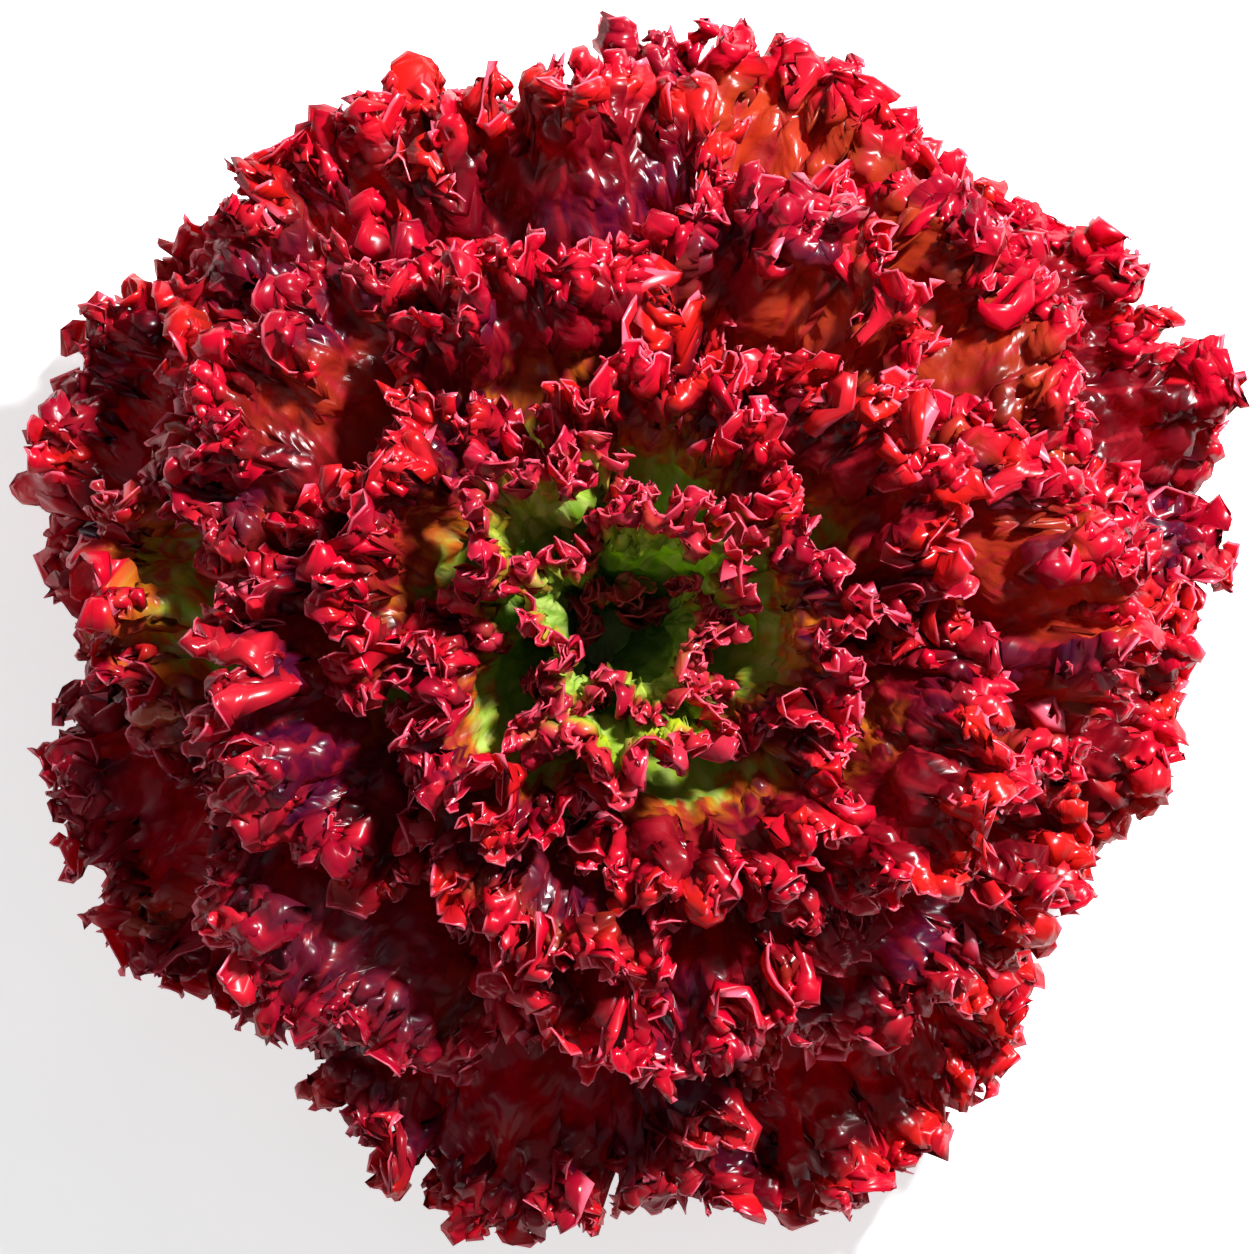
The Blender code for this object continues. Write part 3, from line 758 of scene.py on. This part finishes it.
def leaf_finish(name, colours):
    """The finish of one kind of leaf, from its colours by name. How far its green base and its rim's colour
    reach is in each leaf's attributes base_reach (a share of the way) and rim_reach (metres)."""
    material, graph, surface = new_graph(name)

    def read(layer):
        return graph.out("ShaderNodeAttribute", {"attribute_name": layer}, (), "Fac")

    inset, share, side, spread = read("inset"), read("share"), read("side"), read("spread")
    base_reach, rim_reach = read("base_reach"), read("rim_reach")
    place = graph.out("ShaderNodeTexCoord", (), (), "Object")

    patches, warmth, net, fine = read("patches"), read("warmth"), read("net"), read("fine")
    leaf_tint = read("tint")
    axes = graph.node("ShaderNodeSeparateXYZ", (), {0: place})
    # painted shade: tints rise towards the lower left, away from the key light, on top of their random
    # patches and each leaf's own tint
    shaded_side = (Wire(graph, axes.outputs[0]) + Wire(graph, axes.outputs[1])) * SHADED_SIDE
    tints = read("tints") + leaf_tint * 0.06 + shaded_side

    # the veins: ribs that fan out from the base and fork, and a net between them
    swerve = (read("swerve") - 0.5) * 0.16
    ribs = None
    for count, start in ((4, 0.05), (8, 0.40), (16, 0.66)):
        line = ((side + swerve) * (count / 2) + 0.5).math("FRACT") - 0.5
        width = (1 - share) * 0.0009 + 0.00035
        rib = (line.size() * spread * (2 / count)).rise(width * 1.6, width * 0.4)
        rib = rib * share.rise(start - 0.08, start + 0.08)
        ribs = rib if ribs is None else ribs.most(rib)
    veins = ribs.most(net.rise(0.10, 0.0) * 0.6).most(fine.rise(0.50, 0.85) * 0.5)

    # the colour of the blade, from the base to the edge
    blade = graph.mixed(patches.rise(0.35, 0.65), colours["deep"], colours["middle"])
    warm = (leaf_tint + patches * 2).rise(1.2, 1.9) * 0.7
    blade = graph.mixed(warm, blade, colours["warm_blade"])
    # the blade turns a dusky purple where tints are high: random dusky patches, and painted shade on the side
    # away from the key light
    blade = graph.mixed(tints.rise(0.48, 0.57) * 0.85, blade, colours["dusky_and_painted_shade_tint"])
    near_rim = (inset / rim_reach + (patches - 0.5) * 0.9).rise(1.0, 0.55)
    warm = (warmth - leaf_tint * 0.08).rise(0.46, 0.62) * 0.8
    bright = graph.mixed(warm, colours["rim"], colours["warm_rim"])
    # the rim turns dusky where tints are high in the same way: partly at random, partly painted shade
    bright = graph.mixed(tints.rise(0.48, 0.57) * 0.65, bright, colours["dusky_and_painted_shade_rim"])
    blade = graph.mixed(near_rim, blade, bright)
    greenward = share + (patches - 0.5) * 0.45 - base_reach + net.rise(0.0, 0.3) * 0.10
    blade = graph.mixed(greenward.rise(0.16, 0.02), blade, colours["turning"])
    greening = greenward.rise(0.04, -0.10)
    blade = graph.mixed(greening, blade, colours["base"])
    vein = graph.mixed(near_rim, colours["vein"], colours["rim_vein"])
    blade = graph.mixed(veins * 0.7, blade, graph.mixed(greening, vein, BASE_VEIN))
    freckles = read("freckles").rise(0.5, 0.8) * 0.35
    blade = graph.mixed(freckles, blade, graph.mixed(0.5, blade, colours["deep"]))
    # painted highlight: the margin's last fraction of a millimetre, rim faces included, is painted pale pink
    # as if lit
    edge = inset.rise(PAINTED_HIGHLIGHT_WIDTH, PAINTED_HIGHLIGHT_WIDTH * 0.25)
    colour = graph.mixed(edge * PAINTED_HIGHLIGHT_STRENGTH, blade, colours["painted_edge_highlight_colour"])

    bump = graph.out("ShaderNodeBump", (), {
        "Strength": CRACKLE_STRENGTH, "Distance": CRACKLE_DEPTH, "Height": net - fine * 1.2})
    low, high = WAX_ROUGHNESS
    shader = graph.node("ShaderNodeBsdfPrincipled", (), {
        "Base Color": colour,
        "Roughness": read("sheen") * (high - low) * 1.2 + low - 0.04,
        "Normal": bump,
        "Specular IOR Level": WAX_GLOSS,
    })
    light = graph.mixed(greening, colours["through"], BASE_THROUGH)
    light = graph.mixed(near_rim, light, RIM_THROUGH)
    light = graph.mixed(veins * 0.5, light, colour)
    glow = graph.node("ShaderNodeBsdfTranslucent", (), {"Color": light, "Normal": bump})
    mix = graph.node("ShaderNodeMixShader", (), {0: THROUGH})
    graph.tree.links.new(shader.outputs[0], mix.inputs[1])
    graph.tree.links.new(glow.outputs[0], mix.inputs[2])
    graph.tree.links.new(mix.outputs[0], surface.inputs[0])
    return material


red_leaf = leaf_finish("red_leaf", {
    "deep": (0.030, 0.0008, 0.004),
    "middle": (0.17, 0.0015, 0.009),
    "warm_blade": (0.46, 0.055, 0.012),
    "dusky_and_painted_shade_tint": (0.040, 0.003, 0.026),
    "rim": (0.54, 0.0012, 0.022),
    "warm_rim": (0.58, 0.012, 0.003),
    "dusky_and_painted_shade_rim": (0.18, 0.003, 0.022),
    "painted_edge_highlight_colour": (0.95, 0.17, 0.27),
    "vein": (0.34, 0.010, 0.020),
    "rim_vein": (0.66, 0.014, 0.030),
    "base": (0.30, 0.42, 0.03),
    "turning": (0.50, 0.12, 0.010),
    "through": (0.95, 0.008, 0.004),
})
green_heart = leaf_finish("green_heart", {
    "deep": (0.22, 0.32, 0.012),
    "middle": (0.46, 0.56, 0.020),
    "warm_blade": (0.60, 0.40, 0.030),
    "dusky_and_painted_shade_tint": (0.34, 0.14, 0.02),
    "rim": (0.52, 0.006, 0.040),
    "warm_rim": (0.50, 0.020, 0.030),
    "dusky_and_painted_shade_rim": (0.30, 0.010, 0.030),
    "painted_edge_highlight_colour": (0.90, 0.12, 0.20),
    "vein": (0.45, 0.58, 0.10),
    "rim_vein": (0.60, 0.030, 0.070),
    "base": (0.14, 0.28, 0.014),
    "turning": (0.20, 0.34, 0.02),
    "through": (0.60, 0.72, 0.02),
})


# The leaves, one piece each, from the oldest at the bottom to the youngest in the heart: a smooth sheet
# with its frill, and a thin closed wall that thickens into the midrib. Each is grown onto the stem at its
# base.

GREEN_AGE = 0.18
RIM_STEP = 0.00021
COARSENING = 32
ROW_STEPS = ((0.075, 0.0080), (0.040, 0.0026), (0.012, 0.0017),
             (0.0050, 0.0013), (0.0018, 0.0011), (0.0, 0.0006))
STEP_ASIDE = 0.004
LEAF_THICKNESS = 0.0006
MARGIN_TAPER = 0.003
MARGIN_THICKNESS = 0.5
GREEN_REACH = (0.84, 0.12, 1.30)
STAYED_GREEN = 0.5
RIM_REACH = (0.006, 0.012, 0.7)
PALE_AGE = 0.6
PALE_AZIMUTH = math.radians(178)
PALE_SPREAD = 0.93
SPREAD_STEPS = 50
SPREAD_SIDES = np.array([-1.0, -0.5, 0.5, 1.0])
CURL_TURN = 1.1

# The frill of the oldest leaf, and how much of it the youngest and the oldest have
FRILL_GROWTH = (0.55, 1.0, 0.5)
FRILL_SIZES = {
    "Lobe depth": 0.0150,
    "Wave length": 0.0150, "Wave height": 0.0040, "Wave width": 0.030,
    "Ruffle length": 0.0064, "Ruffle height": 0.0013, "Ruffle width": 0.013,
    "Bay length": 0.0060, "Bay depth": 0.0050,
    "Tooth length": 0.0026, "Tooth depth": 0.0031,
    "Curl width": 0.009, "Blister height": 0.0023,
}


def fine_rows(leaf):
    """Rows of a leaf's fine sheet: nearer the margin they lie closer and have more segments."""
    rim_segments = COARSENING * round(leaf.margin_length / RIM_STEP / COARSENING)
    rows, inset, segments = [], leaf.length, rim_segments // COARSENING
    for zone_end, step in ROW_STEPS:
        zone = max(inset - zone_end, 0)
        count = math.ceil(zone / step)
        for k in range(count):
            rows.append((1 - (inset - zone * k / count) / leaf.length, segments))
        if count:
            inset = zone_end
        segments *= 2
    rows.append((1.0, rim_segments))
    return rows


def unit(vectors):
    return vectors / np.linalg.norm(vectors, axis=1, keepdims=True)


for number, leaf in sorted(leaves.items()):
    side, share, faces = leaf_sheet(fine_rows(leaf))
    across, along, inset = leaf.flat_place(side, share)
    green = leaf.age < GREEN_AGE
    pale = leaf.age > PALE_AGE and math.cos(leaf.azimuth - PALE_AZIMUTH) > PALE_SPREAD
    mesh = bpy.data.meshes.new(f"frilled_leaf_{number:02d}")
    mesh.from_pydata(leaf.points(side, share).tolist(), [], [face[::-1] for face in faces])
    mesh.shade_smooth()
    low_side, high_side = np.clip(side - STEP_ASIDE, -1, 1), np.clip(side + STEP_ASIDE, -1, 1)
    low_share, high_share = np.clip(share - STEP_ASIDE, 0, 1), np.clip(share + STEP_ASIDE, 0, 1)
    shares = np.linspace(0, 1, SPREAD_STEPS)
    halves = [np.ptp(leaf.flat_place(SPREAD_SIDES, np.full(4, where))[0]) / 2 for where in shares]
    layers = {
        "inset": inset,
        "share": share,
        "side": side,
        "calm": 1 - np.abs(side) ** CORNER_CALM,
        "spread": np.interp(share, shares, halves),
        "rim_place": side * leaf.margin_length / 2,
        "from_rib": np.abs(across),
        "base_reach": np.full(len(side), aged(GREEN_REACH, leaf.age) + STAYED_GREEN * pale),
        "rim_reach": np.full(len(side), aged(RIM_REACH, leaf.age)),
        "tint": np.full(len(side), np.random.default_rng(number).uniform(-1, 1)),
        "flat": np.stack([across, along, np.full(len(side), number * LEAF_APART)], axis=-1),
        "along_rim": unit(leaf.points(high_side, share) - leaf.points(low_side, share)),
        "to_rim": unit(leaf.points(side, high_share) - leaf.points(side, low_share)),
    }
    for name, values in layers.items():
        kind, field = ("FLOAT_VECTOR", "vector") if values.ndim == 2 else ("FLOAT", "value")
        layer = mesh.attributes.new(name, kind, "POINT")
        layer.data.foreach_set(field, values.astype(np.float32).ravel())
    maker = bpy.data.objects.new(mesh.name, mesh)
    bpy.context.scene.collection.objects.link(maker)
    thickness = leaf.thickness(side, share) / BLADE_THICKNESS * LEAF_THICKNESS
    thickness = thickness * np.interp(inset, (0, MARGIN_TAPER), (MARGIN_THICKNESS, 1))
    group = maker.vertex_groups.new(name="thickness")
    for k, value in enumerate(thickness / thickness.max()):
        group.add([k], float(value), "REPLACE")
    frilling = maker.modifiers.new("frill", "NODES")
    frilling.node_group = frill
    growth = aged(FRILL_GROWTH, leaf.age)
    for name, value in FRILL_SIZES.items():
        frilling[frill_inputs[name]] = value * growth
    frilling[frill_inputs["Curl"]] = CURL_TURN
    frilling[frill_inputs["Seed"]] = float(number)
    frilling[frill_inputs["Finish"]] = green_heart if green else red_leaf
    wall = maker.modifiers.new("wall", "SOLIDIFY")
    wall.thickness = thickness.max()
    wall.offset = 0
    wall.vertex_group = group.name
    evaluated = maker.evaluated_get(bpy.context.evaluated_depsgraph_get())
    mesh = bpy.data.meshes.new_from_object(evaluated)
    bpy.data.objects.remove(maker)
    piece = bpy.data.objects.new(f"frilled_leaf_{number:02d}", mesh)
    bpy.context.scene.collection.objects.link(piece)
    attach(piece, "root")
    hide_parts(f"leaf_{number:02d}")


# The floor: a plain pale table top under the head, wide enough to fill the view from any side. It glows a
# little, as bright paper seems to in the sun.

FLOOR_HALF = 3.0
FLOOR_TINTS = ((0.86, 0.86, 0.86), (0.92, 0.92, 0.92))
FLOOR_GLOWS = ((0.96, 0.96, 0.96), (1.0, 1.0, 1.0))
FLOOR_GLOW = 0.6

mesh = bpy.data.meshes.new("floor")
mesh.from_pydata([(-FLOOR_HALF, -FLOOR_HALF, 0), (FLOOR_HALF, -FLOOR_HALF, 0), (FLOOR_HALF, FLOOR_HALF, 0),
                  (-FLOOR_HALF, FLOOR_HALF, 0)], [], [(0, 1, 2, 3)])
floor = bpy.data.objects.new("floor", mesh)
bpy.context.scene.collection.objects.link(floor)
pale, graph, surface = new_graph("pale_floor")
place = graph.out("ShaderNodeTexCoord", (), (), "Object")
speckle = graph.noise(place, 30, 3)
shader = graph.node("ShaderNodeBsdfPrincipled", (), {
    "Base Color": graph.mixed(speckle, *FLOOR_TINTS), "Roughness": 0.7,
    "Emission Color": graph.mixed(speckle, *FLOOR_GLOWS), "Emission Strength": FLOOR_GLOW})
graph.tree.links.new(shader.outputs[0], surface.inputs[0])
mesh.materials.append(pale)
floor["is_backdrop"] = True


# Light and camera: a slightly soft light from the upper right, as the sun stood, a weak broad one opposite,
# and a pale room all round. The camera looks straight down.

KEY_FROM = (0.55, 0.60, 0.85)
KEY_POWER = 37
KEY_SIZE = 0.13
FILL_FROM = (-0.9, -0.7, 0.9)
FILL_POWER = 2
FILL_SIZE = 1.2
ROOM_LIGHT = 0.20
ROOM_TINT = (0.95, 0.97, 1, 1)


def soft_light(name, place, power, across):
    lamp = bpy.data.lights.new(name, "AREA")
    lamp.energy, lamp.size = power, across
    light = bpy.data.objects.new(name, lamp)
    light.location = place
    light.rotation_euler = (-Vector(place)).to_track_quat("-Z", "Y").to_euler()
    bpy.context.scene.collection.objects.link(light)


soft_light("key", KEY_FROM, KEY_POWER, KEY_SIZE)
soft_light("fill", FILL_FROM, FILL_POWER, FILL_SIZE)
world = bpy.data.worlds.new("room")
world.use_nodes = True
world.node_tree.nodes["Background"].inputs["Color"].default_value = ROOM_TINT
world.node_tree.nodes["Background"].inputs["Strength"].default_value = ROOM_LIGHT
bpy.context.scene.world = world
bpy.context.scene.view_settings.view_transform = "Standard"

CAMERA_HEIGHT = 1.25
CAMERA_LENS = 150
SENSOR = 36
lens = bpy.data.cameras.new("camera")
lens.lens, lens.sensor_width = CAMERA_LENS, SENSOR
camera = bpy.data.objects.new("camera", lens)
low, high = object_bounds()
camera.location = ((low[0] + high[0]) / 2, (low[1] + high[1]) / 2, CAMERA_HEIGHT)
bpy.context.scene.collection.objects.link(camera)
bpy.context.scene.camera = camera
